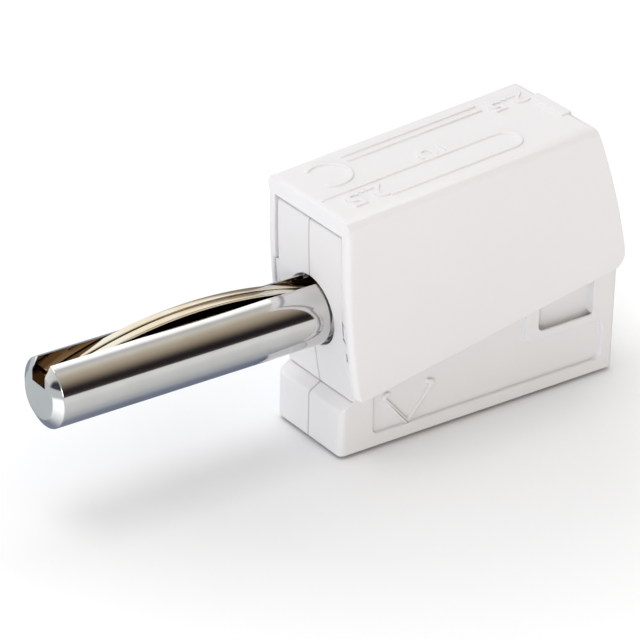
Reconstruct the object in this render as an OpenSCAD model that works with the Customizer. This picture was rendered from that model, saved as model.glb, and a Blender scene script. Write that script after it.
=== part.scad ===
// Lever-clamp banana plug: a slotted 4 mm pin in a two-part housing, under a pivoting lever cap.
// Frame: +X is the way the pin points, +Z is up, origin on the pin's axis at the housing's front face.

/* [Pin] */
// Diameter of the pin
pin_d = 4; // [3.6:0.1:4.4]
// Length of pin ahead of the housing's front face
pin_l = 17.55; // [14:0.05:22]
// Length of the chamfer at the pin's end
tip_chamfer = 0.35; // [0.2:0.05:0.6]
// Diameter of the end face inside the chamfer
tip_d = 2.8; // [2.6:0.1:3.2]
// Diameter of the collar that the housing traps
collar_d = 4.8; // [4.5:0.1:5]
// Thickness of the collar
collar_t = 1; // [0.8:0.1:1.4]
// Diameter of the tail that is riveted to the busbar
tail_d = 2.2; // [1.6:0.1:2.6]
// Diameter of the peened head on the tail
peen_d = 3; // [2.6:0.1:3.2]
// Thickness of the peened head
peen_t = 0.4; // [0.3:0.05:0.6]
// Width of the lengthwise slot
slot_w = 1.25; // [1:0.05:1.6]
// Height of the lengthwise slot's floor above the pin's axis
slot_floor = 0.6; // [0.4:0.05:1]

/* [Contact spring] */
// Thickness of the bow strip
bow_t = 0.15; // [0.1:0.01:0.2]
// Height of the bow's crest above the pin's top
bow_h = 0.46; // [0.3:0.02:0.7]
// Side play of the strip in the slot
bow_side_gap = 0.07; // [0.04:0.01:0.12]
// Width of the slit between the two fingers
bow_slit_w = 0.14; // [0.08:0.02:0.24]
// Length of the unslit end at each end of the strip
bow_end_l = 1.6; // [1:0.1:3]
// Distance from the strip's front end to the pin's end face
bow_tip_gap = 0.95; // [0.6:0.05:1.6]
// Distance from the strip's rear end to the collar
bow_root_gap = 0.15; // [0.1:0.05:0.3]
// Play between the strip's ends and the slot's floor
bow_floor_gap = 0.05; // [0.03:0.01:0.1]

/* [Housing] */
// Length of the base
base_l = 19.5; // [18.5:0.1:22]
// Width of the base
base_w = 6.1; // [6:0.05:6.6]
// Height of the pin's axis above the base's underside
axis_h = 8.2; // [7.8:0.1:9.5]
// Distance by which the base stands ahead of the front face
base_ahead = 0.05; // [-0.1:0.05:0.3]
// Radius of the base's upright corners
base_corner_r = 0.4; // [0.2:0.05:0.7]
// Radius of the base's front and rear edges
base_edge_r = 0.35; // [0.1:0.05:0.4]
// Depth of the base's front ledge below the pin's axis
ledge_depth = 5.2; // [5.1:0.02:5.6]
// Depth of the front face's foot below the pin's axis
face_foot = 4.75; // [4.6:0.05:4.9]
// Height of the fine groove along the front face's foot
foot_groove_h = 0.08; // [0.05:0.01:0.12]
// Depth of the fine groove along the front face's foot
foot_groove_depth = 0.15; // [0.1:0.01:0.2]
// Height of the front face above the pin's axis
face_top = 5.66; // [5.2:0.02:5.7]
// Forward lean of the front face at the pin's axis, in degrees
face_lean = 6; // [4:0.25:7]
// Radius of the front face's curve
face_r = 53; // [45:1:80]
// Width of the halves under the lever cap
upper_w = 5.95; // [5.8:0.05:6]
// Thickness of the roof over the chamber
roof_t = 0.7; // [0.5:0.05:1]
// Width of the chamber inside
chamber_w = 4.4; // [4:0.1:4.6]
// Thickness of the floor under the chamber
floor_t = 2.4; // [1.6:0.1:2.4]
// Distance from the front face to the collar's pocket
front_wall = 1.6; // [1.4:0.05:1.8]
// Distance from the front face to the chamber's rear wall
chamber_back = 14.45; // [14.2:0.05:14.6]
// Angle left between the pressed top plate and the roof, in degrees
roof_margin = 1.5; // [1:0.25:1.75]
// Length of the sloped rear above the base
rear_slope_l = 1.9; // [1.5:0.1:2.2]
// Depth of the base's rear shoulder below the pin's axis
shoulder_drop = 0.4; // [0.2:0.05:0.5]
// Radial play round the pin in the front wall
pin_play = 0.1; // [0.04:0.02:0.16]
// Diameter of the locating pegs
peg_d = 1; // [0.8:0.1:1.2]
// Length of the locating pegs
peg_l = 1.2; // [0.8:0.1:1.6]
// Play of a peg in its socket
peg_play = 0.03; // [0.02:0.01:0.06]
// Distance from the front face to the front pegs
peg_front = 1; // [0.9:0.05:1.1]
// Distance from the base's rear to the rear pegs
peg_rear = 2.3; // [2.1:0.1:2.5]
// Distance from the halves' top and underside to the pegs
peg_margin = 1.6; // [1.4:0.05:1.7]

/* [Side recess and catch windows] */
// Depth of the side recess
recess_depth = 0.25; // [0.15:0.05:0.35]
// Distance from the base's front to the recess
recess_front = 2.25; // [1.6:0.05:2.4]
// Distance from the recess to the base's rear
recess_rear = 1; // [0.6:0.05:1.2]
// Height of the recess's lower edge above the underside
recess_low = 0.98; // [0.8:0.02:1.2]
// Height of the recess's upper edge behind the window, above the underside
recess_high = 3.58; // [3.3:0.02:3.7]
// Radius of the recess's corners
recess_r = 0.4; // [0.2:0.05:0.6]
// Distance from the front face to the window's front edge
window_front = 13.75; // [13.6:0.05:13.9]
// Length of the window
window_l = 3.95; // [3.8:0.05:4.1]
// Height of the window's lower edge above the underside
window_low = 4.05; // [3.95:0.05:4.15]
// Depth of the window's upper edge below the pin's axis
window_drop = 0.6; // [0.5:0.05:0.7]
// Depth of the window's pocket
window_depth = 0.6; // [0.5:0.05:0.7]
// Distance from the window to the recess's step ahead of it
window_frame = 0.87; // [0.6:0.01:1.2]
// Width of the raised arrow's stroke
arrow_stroke = 0.26; // [0.2:0.02:0.32]
// Radius of the arrow's bends, to the stroke's middle
arrow_r = 0.2; // [0.18:0.01:0.22]
// Length of the arrow's turned-in ends
arrow_hook = 0.6; // [0.55:0.05:0.8]
// Height of the raised arrow on the recess's floor
arrow_proud = 0.2; // [0.1:0.05:0.25]
// Width of the arrow across its top
arrow_w = 3.8; // [3:0.1:4.4]
// Height of the arrow
arrow_h = 2.2; // [1.8:0.05:2.3]
// Distance from the base's front to the arrow's point
arrow_back = 4.73; // [4.6:0.01:5]

/* [Conductor entry and test socket] */
// Diameter of the conductor entry
entry_d = 4.2; // [3.8:0.1:4.4]
// Depth of the straight part of the entry
entry_l = 3.6; // [3:0.1:4]
// Diameter of the entry's throat
throat_d = 2.5; // [2:0.1:2.8]
// Length of the cone between entry and throat
cone_l = 1; // [0.6:0.1:1.2]
// Diameter of the conductor that the clamp is made for
conductor_d = 1.8; // [1.6:0.05:1.9]
// Play between the conductor and the busbar
conductor_play = 0.05; // [0.02:0.01:0.1]
// Diameter of the test socket in the floor
test_d = 2.3; // [1.8:0.1:2.6]

/* [Lever cap] */
// Width of the lever cap
cap_w = 7.6; // [7.5:0.05:8]
// Side play between the lever cap and the base
cap_side_gap = 0.1; // [0.06:0.01:0.14]
// Thickness of the top plate
plate_t = 1.1; // [0.9:0.05:1.2]
// Height of the top plate's front edge above the pin's axis
cap_top = 6.93; // [6.9:0.01:7.4]
// Rise of the top plate towards the rear, in degrees
top_slope = 4.5; // [3:0.25:5]
// Distance from the base's rear to the top plate's rear edge
plate_setback = 2.87; // [2.4:0.01:3.4]
// Distance by which the lever cap stands ahead of the front face
cap_ahead = 0.1; // [0.05:0.05:0.3]
// Depth of the skirts' front corner below the pin's axis
skirt_depth = 4.5; // [4.3:0.05:4.6]
// Rise of the skirts' lower edge towards the rear, in degrees
skirt_slope = 10.5; // [10:0.25:11]
// Distance from the base's rear to the skirts' lower rear corner
skirt_setback = 0.07; // [0.05:0.01:0.6]
// Radius of the top plate's long edges
cap_edge_r = 0.6; // [0.3:0.05:0.8]
// Radius of the skirts' lower front corner
cap_front_r = 0.45; // [0.2:0.05:0.6]
// Radius of the skirts' rear corner
skirt_rear_r = 0.9; // [0.4:0.1:1.2]
// Height of the rear edge's outward curve
rear_curve_h = 0.3; // [0.1:0.05:0.4]
// Width of the finger ridge at the rear of the top plate
ridge_w = 3; // [2:0.1:4]
// Height of the finger ridge
ridge_h = 0.12; // [0.06:0.02:0.3]
// Length of the finger ridge
ridge_l = 0.7; // [0.5:0.05:1]

/* [Raised lines on the top plate] */
// Height of the lines
line_h = 0.1; // [0.06:0.02:0.16]
// Width of the lines
line_w = 0.24; // [0.16:0.02:0.36]
// Distance from the plate's front edge to the strip gauge's round end
gauge_back = 13.15; // [12:0.05:14]
// Length of the strip gauge's short rail
gauge_l = 9.5; // [8:0.1:11]
// Length of the strip gauge's long rail
gauge_long = 12.9; // [11.5:0.1:13]
// Width of the strip gauge
gauge_w = 2.1; // [1.6:0.1:2.2]
// Distance from the plate's middle line to the strip gauge's
gauge_side = 1.7; // [1.5:0.05:1.8]
// Distance from the plate's front edge to the two rules
rule_front = 4; // [3.9:0.1:5]
// Length of the rules
rule_l = 9.3; // [8:0.1:10]
// Distance from the plate's middle line to the outer rule
rule_side = 2.6; // [2.4:0.05:2.7]
// Distance between the rules
rule_pitch = 0.6; // [0.5:0.05:0.8]
// Distance from the plate's front edge to the open ring's middle
ring_back = 2.3; // [2:0.1:2.5]
// Distance from the plate's middle line to the open ring's middle
ring_side = 1.33; // [1.2:0.01:1.5]
// Diameter of the open ring
ring_d = 2.8; // [2.4:0.1:3]
// Angle of the ring's opening, in degrees
ring_open = 100; // [60:5:120]

/* [Pivot] */
// Distance from the front face to the pivot's axis
pivot_back = 2.25; // [2.15:0.05:2.4]
// Diameter of the pivot bosses
pivot_d = 3.7; // [3.4:0.1:3.8]
// Height of the pivot bosses beside the base's sides
pivot_proud = 0.22; // [0.18:0.02:0.3]
// Radial running clearance of the pivot
pivot_play = 0.05; // [0.03:0.01:0.08]
// End play of the pivot bosses in the skirts' grooves
pivot_end_play = 0.06; // [0.04:0.01:0.1]
// Travel of the lever, in degrees
press_angle = 10; // [8:0.5:10]
// Angle by which the bosses are cut back beyond the lever's travel, in degrees
boss_margin = 1; // [0.5:0.25:3]
// Height of the catch noses inside the skirts
nose_proud = 0.45; // [0.35:0.05:0.5]
// Height of a catch nose from its toe to its top
nose_h = 0.7; // [0.5:0.05:0.75]
// Play of a catch nose under its window's upper edge
nose_play = 0.15; // [0.1:0.05:0.25]
// Distance from the window's front edge to a catch nose
nose_front_gap = 0.75; // [0.65:0.05:0.9]
// Distance from a catch nose to the window's rear edge
nose_rear_gap = 0.85; // [0.6:0.05:1]

/* [Busbar and clamp] */
// Thickness of the busbar
bus_t = 0.8; // [0.6:0.05:1]
// Depth of the busbar's underside below the pin's axis
bus_drop = 2.5; // [2.45:0.01:2.6]
// Height of the busbar's tab above the pin's axis
tab_top = 2; // [1.8:0.1:2.2]
// Side play of the busbar in the chamber
bus_side_gap = 0.05; // [0.03:0.01:0.1]
// Width of the busbar's tongue in the cage
tongue_w = 2.3; // [1.8:0.1:2.4]
// Length of the tongue
tongue_l = 2.2; // [2:0.1:2.6]
// Width of the ledges that the busbar lies on
ledge_w = 0.7; // [0.5:0.05:0.9]
// Distance from the ledges to the busbar's bend and to its tongue
ledge_gap = 0.6; // [0.4:0.1:1]
// Thickness of the clamp's strip
clamp_t = 0.35; // [0.3:0.01:0.4]
// Width of the clamp's strip
clamp_w = 3.8; // [3.6:0.1:4]
// Radius of the clamp's loop, to the strip's middle
loop_r = 1.75; // [1.6:0.05:1.8]
// Distance from the front face to the loop's axis
loop_back = 6.85; // [6.4:0.05:7.4]
// Slope of the clamp's upper leg, in degrees
leg_slope = 10; // [8:0.5:10.5]
// Radius of the bend above the cage, to the strip's middle
bend_r = 0.5; // [0.4:0.05:0.6]
// Distance from the front face to the cage
cage_back = 12.65; // [12.4:0.05:12.8]
// Width of the cage's window
cage_window_w = 2.6; // [2.5:0.05:2.8]
// Height of the bar below the cage's window
cage_bar_h = 0.9; // [0.7:0.05:1]
// Play between the busbar and the cage's bar
cage_play = 0.1; // [0.05:0.05:0.2]
// Distance from the loop's leg on the busbar to the tongue
clamp_end_gap = 0.3; // [0.2:0.05:0.6]
// Distance by which the lever's plunger stands ahead of the cage
plunger_ahead = 0.9; // [0.8:0.05:1]
// Length of the lever's plunger
plunger_l = 1; // [0.8:0.1:1.2]
// Width of the lever's plunger
plunger_w = 2.2; // [1.8:0.1:2.6]
// Play between the plunger and the clamp
plunger_play = 0.12; // [0.08:0.02:0.3]
// Play round the plunger in the roof's opening
opening_gap = 0.3; // [0.2:0.05:0.5]

/* [Hidden] */
$fn = 64;
eps = 0.01;
// Reach of a cutting body beyond the piece that it cuts
past = 30;
arc_steps = 6;
curve_steps = 10;
rear_steps = 8;
loop_steps = 18;
bend_steps = 8;

pin_r = pin_d / 2;
base_front_x = base_ahead;
base_rear_x = base_ahead - base_l;
base_z = -axis_h;
pocket_x = -front_wall;
chamber_front_x = pocket_x - collar_t;
chamber_rear_x = -chamber_back;
chamber_floor_z = base_z + floor_t;
face_top_x = face_x(face_top);
foot_x = face_x(-face_foot);
// The roof falls to the rear a little slower than the pressed top plate, which swings back as it turns
roof_slope = press_angle - top_slope - roof_margin;
roof_rear_x = base_rear_x + rear_slope_l;
roof_rear_z = roof_z(roof_rear_x);
slope_foot_x = base_rear_x + base_corner_r;
shoulder_z = -shoulder_drop;

cap_in_w = base_w + 2 * cap_side_gap;
cap_front_bottom = [cap_ahead + face_x(-skirt_depth), -skirt_depth];
cap_front_top = [cap_ahead + face_x(cap_top), cap_top];
cap_rear_top = [base_rear_x + plate_setback, plate_z(base_rear_x + plate_setback)];
cap_rear_bottom = [base_rear_x + skirt_setback, skirt_z(base_rear_x + skirt_setback)];
plate_drop = plate_t / cos(top_slope);

pivot_r = pivot_d / 2;
groove_r = pivot_r + pivot_play;
boss_side = base_w / 2 + pivot_proud;
groove_side = boss_side + pivot_end_play;

window_rear = window_front + window_l;
window_low_z = base_z + window_low;
window_top_z = -window_drop;
nose_top_z = window_top_z - nose_play;
nose_front_x = -window_front - nose_front_gap;
nose_rear_x = -window_rear + nose_rear_gap;

bow_front_x = pin_l - bow_tip_gap;
bow_rear_x = pocket_x + bow_root_gap;
bow_mid_x = (bow_front_x + bow_rear_x) / 2;
bow_half = (bow_front_x - bow_rear_x) / 2;
bow_crest_z = pin_r + bow_h;
bow_sag = bow_crest_z - bow_t - slot_floor - bow_floor_gap;
bow_in_r = (bow_half * bow_half + bow_sag * bow_sag) / (2 * bow_sag);

tab_rear_x = chamber_front_x - bus_t;
bus_top_z = bus_t - bus_drop;
bus_w = chamber_w - 2 * bus_side_gap;
tongue_front_x = -cage_back + tongue_l / 2;
tongue_rear_x = -cage_back - tongue_l / 2;

clamp_low_z = bus_top_z + clamp_t / 2;
loop_z = clamp_low_z + loop_r;
leg_start = [-loop_back + loop_r * sin(leg_slope), loop_z + loop_r * cos(leg_slope)];
bend_x = bend_r - cage_back;
leg_end_x = bend_x + bend_r * sin(leg_slope);
leg_end_z = leg_start[1] + (leg_start[0] - leg_end_x) * tan(leg_slope);
bend_z = leg_end_z - bend_r * cos(leg_slope);
cage_bar_top = -bus_drop - cage_play;
cage_low_z = cage_bar_top - cage_bar_h;
cage_travel = (cage_back - pivot_back) * sin(press_angle);
cage_window_top = bus_top_z + cage_travel + cage_play;
plunger_x = plunger_ahead - cage_back;
plunger_swing = face_top * sin(press_angle);
plunger_tip_z = leg_z(plunger_x - plunger_l / 2) + clamp_t / 2 / cos(leg_slope) + plunger_play;

entry_z = -bus_drop - conductor_play - conductor_d / 2;
test_x = base_front_x - arrow_back;
recess_low_z = base_z + recess_low;
recess_top_z = -pivot_r - recess_depth;
peg_rear_x = base_rear_x + peg_rear;
pegs = [
  [-peg_front, face_top - peg_margin],
  [-peg_front, base_z + peg_margin],
  [peg_rear_x, base_z + peg_margin],
  [peg_rear_x, roof_z(peg_rear_x) - peg_margin]
];

plastic = [0.93, 0.925, 0.925];
nickel = [0.78, 0.77, 0.75];
gold = [0.78, 0.62, 0.34];
copper = [0.8, 0.76, 0.7];
steel = [0.62, 0.63, 0.65];

// Place of the curved front face at a height
function face_x(z) = z * tan(face_lean) - z * z / (2 * face_r);
// Outline points of the front face's curve, moved ahead, from one height to another
function face_points(ahead, from, to) =
  [for (i = [0 : curve_steps])
    let (z = from + (to - from) * i / curve_steps)
    [ahead + face_x(z), z]];
// Height of the roof's top at a place along the housing
function roof_z(x) = face_top - (face_top_x - x) * tan(roof_slope);
// Height of the middle of the clamp's upper leg at a place along the housing
function leg_z(x) = leg_start[1] + (leg_start[0] - x) * tan(leg_slope);
// Height of the top plate's upper face at a place along the lever cap
function plate_z(x) = cap_top + (cap_front_top[0] - x) * tan(top_slope);
// Height of the skirts' lower edge at a place along the lever cap
function skirt_z(x) = (cap_front_bottom[0] - x) * tan(skirt_slope) - skirt_depth;

function unit(v) = v / norm(v);
// Points of the arc that rounds the corner at b between its neighbours a and c
function corner_arc(a, b, c, r) =
  let (u = unit(a - b))
  let (v = unit(c - b))
  let (half = acos(u * v) / 2)
  let (middle = b + unit(u + v) * r / sin(half))
  let (from = b + u * r / tan(half) - middle)
  let (to = b + v * r / tan(half) - middle)
  let (start = atan2(from[1], from[0]))
  let (turn = atan2(from[0] * to[1] - from[1] * to[0], from * to))
  arc_points(middle, r, start, start + turn, arc_steps);
// Outline with each corner rounded by its own radius, where a radius of 0 keeps it sharp
function rounded(points, radii) =
  let (n = len(points))
  [for (i = [0 : n - 1])
    each radii[i] == 0
      ? [points[i]]
      : corner_arc(points[(i + n - 1) % n], points[i], points[(i + 1) % n], radii[i])];
// Points of an arc from one angle to another
function arc_points(middle, r, from, to, steps) =
  [for (i = [0 : steps])
    let (at = from + (to - from) * i / steps)
    middle + r * [cos(at), sin(at)]];
// Step from a strip's middle to its left face at point i of its path
function strip_side(path, i, t) =
  let (last = len(path) - 1)
  let (ahead = unit(path[min(i + 1, last)] - path[min(i, last - 1)]))
  let (behind = unit(path[max(i, 1)] - path[max(i - 1, 0)]))
  let (way = unit(ahead + behind))
  t / 2 / (way * ahead) * [-way[1], way[0]];
// Outline of a strip of thickness t that follows a path through its middle
function strip_outline(path, t) =
  concat(
    [for (i = [0 : len(path) - 1]) path[i] + strip_side(path, i, t)],
    [for (i = [len(path) - 1 : -1 : 0]) path[i] - strip_side(path, i, t)]
  );
function zeros(n) = [for (i = [1 : n]) 0];

// A side outline, given in X and Z, drawn out across the width
module along_y(w) {
  rotate([90, 0, 0])
    linear_extrude(height = w, center = true)
      children();
}

// A side outline drawn out from one Y to another
module between_y(from, to) {
  translate([0, to, 0])
    rotate([90, 0, 0])
      linear_extrude(height = to - from)
        children();
}

// A cross-section, given in Y and Z, drawn out along the length
module along_x(from, to) {
  translate([from, 0, 0])
    rotate([90, 0, 90])
      linear_extrude(height = to - from)
        children();
}

module rod_x(from, to, r) {
  translate([from, 0, 0])
    rotate([0, 90, 0])
      cylinder(h = to - from, r = r);
}

module rod_y(x, z, from, to, r) {
  translate([x, to, z])
    rotate([90, 0, 0])
      cylinder(h = to - from, r = r);
}

module both_sides() {
  children();
  mirror([0, 1, 0])
    children();
}

// Base of the two halves together, with rounded upright corners and lower edges
module base_block() {
  intersection() {
    along_y(base_w)
      polygon(rounded(
        [
          [base_front_x, base_z],
          [base_front_x, -ledge_depth],
          [foot_x, -face_foot],
          [foot_x - front_wall, shoulder_z],
          [base_rear_x, shoulder_z],
          [base_rear_x, base_z]
        ],
        [base_edge_r, base_edge_r, 0, 0, base_edge_r, base_edge_r]
      ));
    translate([0, 0, base_z - eps])
      linear_extrude(height = 2 * axis_h)
        polygon(rounded(
          [
            [base_front_x, -base_w / 2],
            [base_front_x, base_w / 2],
            [base_rear_x, base_w / 2],
            [base_rear_x, -base_w / 2]
          ],
          [base_corner_r, base_corner_r, base_corner_r, base_corner_r]
        ));
  }
}

// Part of the halves that stands under the lever cap
module upper_block() {
  along_y(upper_w)
    polygon(rounded(
      concat(
        face_points(0, -face_foot, face_top),
        [
          [roof_rear_x, roof_rear_z],
          [slope_foot_x, shoulder_z],
          [slope_foot_x, -face_foot]
        ]
      ),
      concat(zeros(curve_steps), [base_edge_r / 2, base_edge_r, 0, 0])
    ));
}

// Fine groove along the foot of the front face
module foot_groove() {
  translate([foot_x - foot_groove_depth, -past, -face_foot])
    cube([foot_groove_depth + front_wall, 2 * past, foot_groove_h]);
}

// Boss that carries a skirt: round behind the pivot, cut back below so that the skirt's groove can turn
module pivot_boss() {
  back_off = press_angle + boss_margin;
  toe = [pivot_r * sin(back_off) - pivot_back, -pivot_r * cos(back_off)];
  toe_front_z = toe[1] + (face_x(toe[1]) - toe[0]) * tan(back_off);
  rod_y(-pivot_back, 0, upper_w / 2 - eps, boss_side, pivot_r);
  between_y(upper_w / 2 - eps, boss_side)
    polygon(concat(
      [
        [-pivot_back, pivot_r],
        [-pivot_back, 0],
        toe
      ],
      face_points(0, toe_front_z, pivot_r)
    ));
}

// Chamber for the busbar and the clamp, with the collar's pocket and the pin's bore
module chamber() {
  along_y(chamber_w)
    polygon([
      [chamber_front_x, chamber_floor_z],
      [chamber_front_x, roof_z(chamber_front_x) - roof_t],
      [chamber_rear_x, roof_z(chamber_rear_x) - roof_t],
      [chamber_rear_x, chamber_floor_z]
    ]);
  rod_x(chamber_front_x - eps, pocket_x, collar_d / 2 + peg_play);
  rod_x(pocket_x - eps, past, pin_r + pin_play);
  // opening in the roof for the plunger, long enough for its swing
  opening_l = plunger_l + plunger_swing + 2 * opening_gap;
  opening_w = plunger_w + 2 * opening_gap;
  translate([plunger_x + plunger_l / 2 + opening_gap - opening_l, -opening_w / 2, leg_end_z])
    cube([opening_l, opening_w, past]);
}

// Side ledges in the chamber that the busbar lies on
module bus_ledges() {
  ledge_l = tab_rear_x - tongue_front_x - 2 * ledge_gap;
  both_sides()
    translate([tongue_front_x + ledge_gap, chamber_w / 2 - ledge_w, chamber_floor_z - eps])
      cube([ledge_l, ledge_w + eps, -bus_drop - chamber_floor_z + eps]);
}

// Way in for the conductor: straight entry, cone and throat
module conductor_way() {
  translate([0, 0, entry_z]) {
    rod_x(base_rear_x - past, base_rear_x + entry_l, entry_d / 2);
    translate([base_rear_x + entry_l - eps, 0, 0])
      rotate([0, 90, 0])
        cylinder(h = cone_l + eps, r1 = entry_d / 2, r2 = throat_d / 2);
    rod_x(base_rear_x + entry_l + cone_l - eps, chamber_rear_x + eps, throat_d / 2);
  }
}

// Shallow recess in one side of the base, stepped down behind the catch window
module side_recess() {
  front_x = base_front_x - recess_front;
  rear_x = base_rear_x + recess_rear;
  step_x = window_frame - window_front;
  between_y(base_w / 2 - recess_depth, base_w)
    polygon(rounded(
      [
        [front_x, recess_low_z],
        [front_x, recess_top_z],
        [step_x, recess_top_z],
        [step_x, base_z + recess_high],
        [rear_x, base_z + recess_high],
        [rear_x, recess_low_z]
      ],
      [recess_r, 0, 0, recess_r, recess_r, recess_r]
    ));
}

// Pocket in one side for the lever's catch nose
module catch_window() {
  between_y(base_w / 2 - window_depth, base_w)
    polygon(rounded(
      [
        [-window_front, window_low_z],
        [-window_front, window_top_z],
        [-window_rear, window_top_z],
        [-window_rear, window_low_z]
      ],
      [recess_r, 0, 0, recess_r / 2]
    ));
}

// Raised arrow that points down to the test socket, with its ends turned in
module test_arrow() {
  half = arrow_w / 2;
  floor_y = base_w / 2 - recess_depth;
  arrow_top_z = recess_low_z + arrow_h;
  path = rounded(
    [
      [test_x + half - arrow_hook, arrow_top_z],
      [test_x + half, arrow_top_z],
      [test_x, recess_low_z],
      [test_x - half, arrow_top_z],
      [test_x - half + arrow_hook, arrow_top_z]
    ],
    [0, arrow_r, arrow_r, arrow_r, 0]
  );
  between_y(floor_y - eps, floor_y + arrow_proud)
    polygon(strip_outline(path, arrow_stroke));
}

module housing() {
  difference() {
    union() {
      base_block();
      upper_block();
    }
    difference() {
      chamber();
      bus_ledges();
    }
    conductor_way();
    foot_groove();
    both_sides() {
      side_recess();
      catch_window();
    }
    translate([test_x, 0, base_z - past])
      cylinder(h = floor_t + past + eps, d = test_d);
  }
  both_sides()
    pivot_boss();
}

module peg_rods(from, to, r) {
  for (at = pegs)
    rod_y(at[0], at[1], from, to, r);
}

// Half shell on the side that shows, with the peg sockets and the arrow
module housing_left() {
  color(plastic) {
    difference() {
      intersection() {
        housing();
        translate([-past, 0, -past])
          cube([2 * past, past, 2 * past]);
      }
      peg_rods(-eps, peg_l + peg_play, peg_d / 2 + peg_play);
    }
    test_arrow();
  }
}

// Half shell on the far side, with the pegs
module housing_right() {
  color(plastic) {
    intersection() {
      housing();
      translate([-past, -past, -past])
        cube([2 * past, past, 2 * past]);
    }
    peg_rods(-peg_l, peg_l, peg_d / 2);
  }
}

// Corner to cut away so that an edge of radius r is left, with the edge at the origin
module edge_waste(r) {
  difference() {
    translate([-r, -r])
      square(3 * r);
    translate([-r, -r])
      circle(r);
  }
}

// Outer form of the lever cap: its side outline, rounded along the top
module cap_outer() {
  rear_way = cap_rear_bottom - cap_rear_top;
  rear_points = [
    for (i = [1 : rear_steps - 1])
      let (t = i / rear_steps)
      cap_rear_top + t * rear_way - [4 * rear_curve_h * t * (1 - t), 0]
  ];
  difference() {
    along_y(cap_w)
      polygon(rounded(
        concat(
          face_points(cap_ahead, -skirt_depth, cap_top),
          [cap_rear_top],
          rear_points,
          [cap_rear_bottom]
        ),
        concat(
          [cap_front_r],
          zeros(curve_steps - 1),
          [cap_front_r / 2, cap_front_r],
          zeros(rear_steps - 1),
          [skirt_rear_r]
        )
      ));
    both_sides()
      translate([cap_front_top[0], cap_w / 2, cap_front_top[1]])
        rotate([0, top_slope, 0])
          along_x(-past, past)
            edge_waste(cap_edge_r);
  }
}

// Catch nose inside one skirt, ramped below so that the lever cap snaps on
module catch_nose() {
  root = cap_in_w / 2 + eps;
  crest = cap_in_w / 2 - nose_proud;
  along_x(nose_rear_x, nose_front_x)
    polygon([
      [root, nose_top_z],
      [crest, nose_top_z],
      [crest, nose_top_z - nose_h / 2],
      [root, nose_top_z - nose_h]
    ]);
}

// Rib under the top plate that presses the clamp, with a round tip
module plunger() {
  tip_r = plunger_l / 2;
  translate([plunger_x - tip_r, -plunger_w / 2, plunger_tip_z + tip_r])
    cube([plunger_l, plunger_w, plate_z(plunger_x) - plate_drop - plunger_tip_z]);
  rod_y(plunger_x, plunger_tip_z + tip_r, -plunger_w / 2, plunger_w / 2, tip_r);
}

// One straight raised line, placed by its distances from the plate's front edge and middle line
module plate_line(back, l, side) {
  translate([-back - l, side - line_w / 2])
    square([l, line_w]);
}

// Raised lines on the top plate, drawn in its own plane: a strip gauge, two rules and an open ring
module top_lines() {
  gauge_end = gauge_back - gauge_w / 2;
  rail_step = (gauge_w - line_w) / 2;
  long_rail = gauge_long - gauge_w / 2;
  short_rail = gauge_l - gauge_w / 2;
  open_way = ring_d * [cos(ring_open / 2), sin(ring_open / 2)];
  translate([cap_front_top[0], 0, cap_front_top[1]])
    rotate([0, top_slope, 0])
      translate([0, 0, -eps])
        linear_extrude(height = line_h + eps) {
          plate_line(gauge_end - long_rail, long_rail, gauge_side - rail_step);
          plate_line(gauge_end - short_rail, short_rail, gauge_side + rail_step);
          translate([-gauge_end, gauge_side])
            difference() {
              circle(d = gauge_w);
              circle(d = gauge_w - 2 * line_w);
              translate([0, -gauge_w])
                square(2 * gauge_w);
            }
          plate_line(rule_front, rule_l, -rule_side);
          plate_line(rule_front, rule_l, rule_pitch - rule_side);
          translate([-ring_back, -ring_side])
            difference() {
              circle(d = ring_d);
              circle(d = ring_d - 2 * line_w);
              polygon([[0, 0], [open_way[0], -open_way[1]], open_way]);
            }
        }
}

// Lever cap: an inverted U that turns on the pivot bosses
module lever_cap() {
  color(plastic) {
    difference() {
      cap_outer();
      along_y(cap_in_w)
        polygon([
          [past, plate_z(past) - plate_drop],
          [-past, plate_z(-past) - plate_drop],
          [-past, -past],
          [past, -past]
        ]);
      both_sides() {
        rod_y(-pivot_back, 0, 0, groove_side, groove_r);
        translate([-pivot_back, 0, -groove_r])
          cube([past, groove_side, 2 * groove_r]);
      }
    }
    both_sides()
      catch_nose();
    plunger();
    top_lines();
    translate([cap_rear_top[0], 0, cap_rear_top[1]])
      rotate([0, top_slope, 0])
        translate([0, -ridge_w / 2, -plate_t / 2])
          cube([ridge_l, ridge_w, plate_t / 2 + ridge_h]);
  }
}

// Turned pin: slotted shaft, collar, riveted tail
module plug_pin() {
  tail_x = tab_rear_x;
  color(nickel)
    difference() {
      union() {
        rod_x(pocket_x, pin_l - tip_chamfer, pin_r);
        translate([pin_l - tip_chamfer, 0, 0])
          rotate([0, 90, 0])
            cylinder(h = tip_chamfer, r1 = pin_r, r2 = tip_d / 2);
        rod_x(chamber_front_x, pocket_x, collar_d / 2);
        rod_x(tail_x, chamber_front_x, tail_d / 2);
        rod_x(tail_x - peen_t, tail_x, peen_d / 2);
      }
      translate([pocket_x, -slot_w / 2, slot_floor])
        cube([pin_l - pocket_x + past, slot_w, pin_d]);
    }
}

// Bowed strip in the pin's slot, slit into two fingers
module contact_spring() {
  bow_w = slot_w - 2 * bow_side_gap;
  middle_z = bow_crest_z - bow_t - bow_in_r;
  color(gold)
    difference() {
      intersection() {
        difference() {
          rod_y(bow_mid_x, middle_z, -bow_w / 2, bow_w / 2, bow_in_r + bow_t);
          rod_y(bow_mid_x, middle_z, -bow_w, bow_w, bow_in_r);
        }
        translate([bow_rear_x, -bow_w, 0])
          cube([bow_front_x - bow_rear_x, 2 * bow_w, 2 * pin_d]);
      }
      translate([bow_rear_x + bow_end_l, -bow_slit_w / 2, 0])
        cube([2 * bow_half - 2 * bow_end_l, bow_slit_w, 2 * pin_d]);
    }
}

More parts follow.
